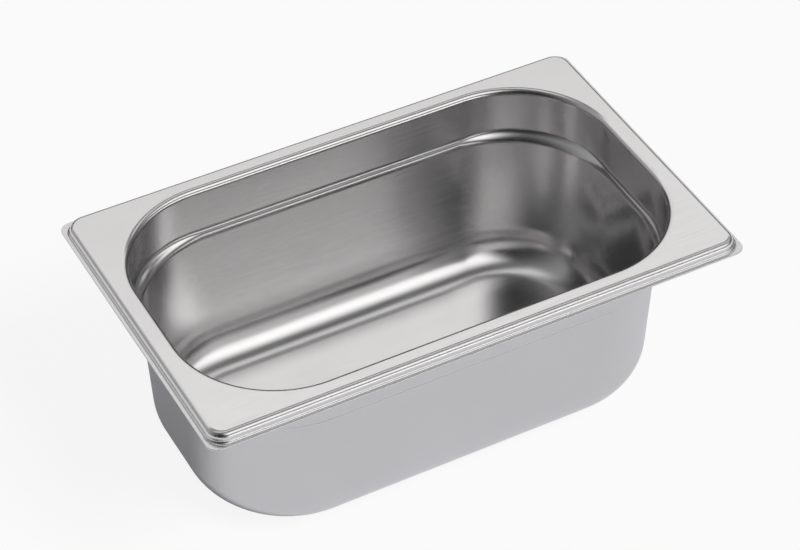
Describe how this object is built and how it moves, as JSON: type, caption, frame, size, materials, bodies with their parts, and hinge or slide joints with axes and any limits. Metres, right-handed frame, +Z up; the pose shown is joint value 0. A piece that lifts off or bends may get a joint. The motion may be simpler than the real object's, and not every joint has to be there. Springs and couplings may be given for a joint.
{
  "type": "gastronorm food pan",
  "caption": "Deep-drawn stainless steel food pan of gastronorm quarter size, with a flat flange, turned-down rim, stacking ledge and rounded base.",
  "frame": {"origin": "centre of the underside of the base, the level that the pan stands on", "axes": "+Z up out of the mouth, +X along the long side, +Y along the short side"},
  "size_m": [0.265, 0.162, 0.1],
  "materials": {
    "stainless": "satin drawn stainless steel, grained lengthwise on the flange, brighter where the press rolled the bends"
  },
  "bodies": {
    "root": {"pan": "stainless"}
  },
  "joints": []
}
